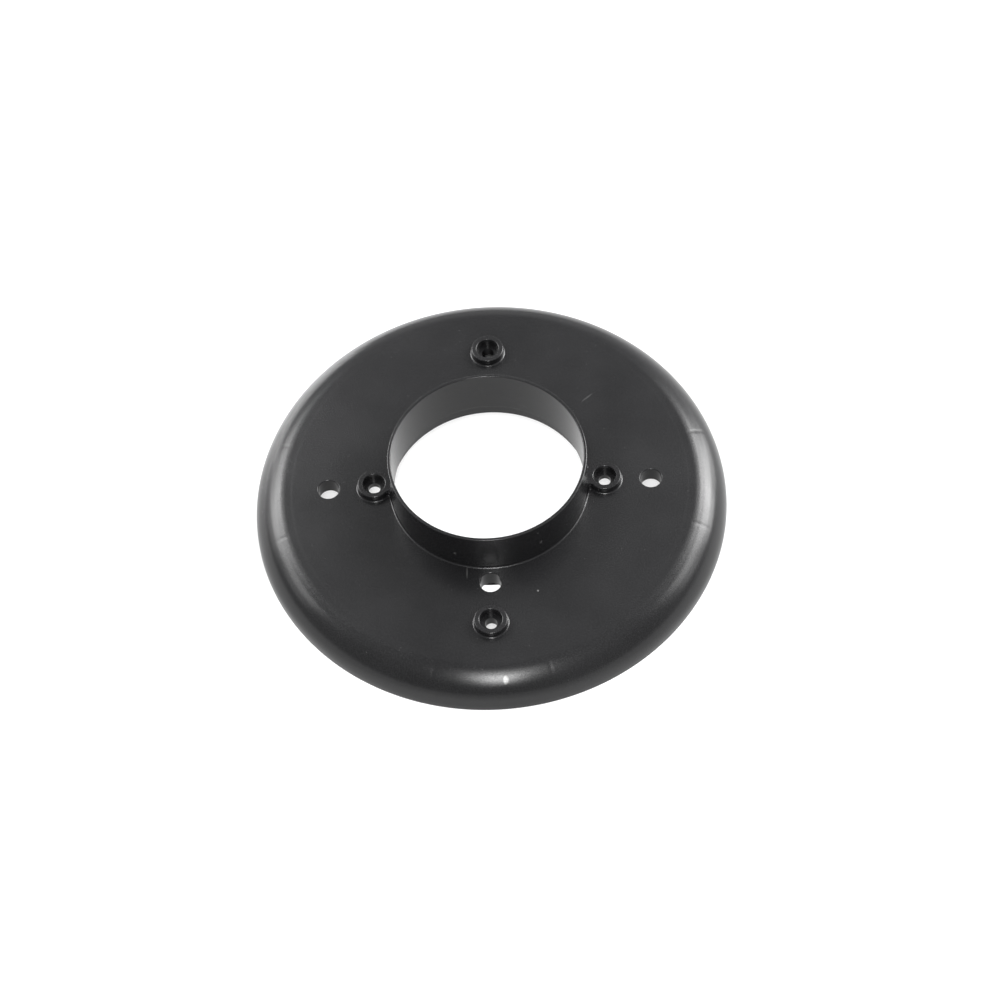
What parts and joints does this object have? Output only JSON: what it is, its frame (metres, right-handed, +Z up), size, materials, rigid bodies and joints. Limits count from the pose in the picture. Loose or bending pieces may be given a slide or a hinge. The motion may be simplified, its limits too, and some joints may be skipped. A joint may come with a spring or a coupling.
{
  "type": "garbage disposal end cover",
  "caption": "Round black moulded cover with a rolled rim, a tall thin collar around a large bore, counterbored screw bosses and plain holes.",
  "frame": {"origin": "on the bore's axis, level with the lower edge of the rim, which the cover rests on", "axes": "+Z up along the bore's axis towards the collar's lip; the screw bosses lie on X and Y, the pair beside the collar on X"},
  "size_m": [0.206, 0.206, 0.0379],
  "materials": {
    "black_plastic": "satin"
  },
  "bodies": {
    "root": {"cover_shell": "black_plastic"}
  },
  "joints": []
}
